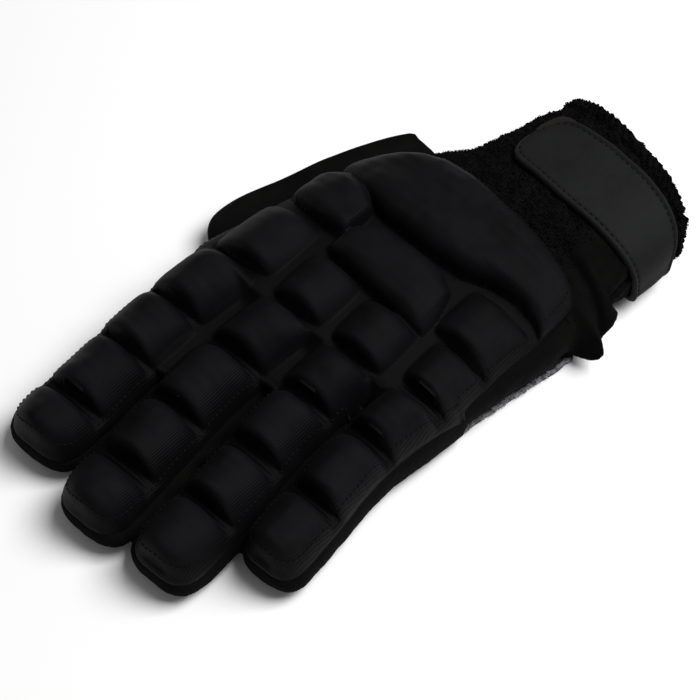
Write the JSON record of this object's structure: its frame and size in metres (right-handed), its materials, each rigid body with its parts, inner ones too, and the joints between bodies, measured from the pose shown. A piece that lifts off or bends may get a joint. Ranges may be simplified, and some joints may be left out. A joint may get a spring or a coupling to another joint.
{
  "type": "indoor hockey glove",
  "caption": "Left-hand full-finger indoor hockey glove, lying palm down: moulded foam block back, stretch cloth hand, knit wrist tube and hook strap.",
  "frame": {"origin": "on the flat underside of the palm patch, on the surface the glove rests on, level with the knuckle line", "axes": "fingers point to -Y, wrist opening faces +Y, thumb on the -X side, back of the hand up (+Z)"},
  "size_m": [0.1401, 0.2429, 0.0404],
  "materials": {
    "foam_cloth": "near-black fine-ribbed cloth over moulded foam, soft sheen",
    "stretch_cloth": "matt black stretch cloth",
    "terry_knit": "matt black looped knit",
    "strap_leather": "smooth charcoal synthetic leather, slight sheen",
    "palm_suede": "dark grey suede-like sheet with a paler raw edge"
  },
  "bodies": {
    "root": {"foam_back": "foam_cloth", "palm_body": "stretch_cloth", "index_sleeve": "stretch_cloth", "middle_sleeve": "stretch_cloth", "ring_sleeve": "stretch_cloth", "little_sleeve": "stretch_cloth", "thumb_sleeve": "stretch_cloth", "wrist_cuff": "terry_knit", "wrist_strap": "strap_leather", "palm_patch": "palm_suede"}
  },
  "joints": []
}
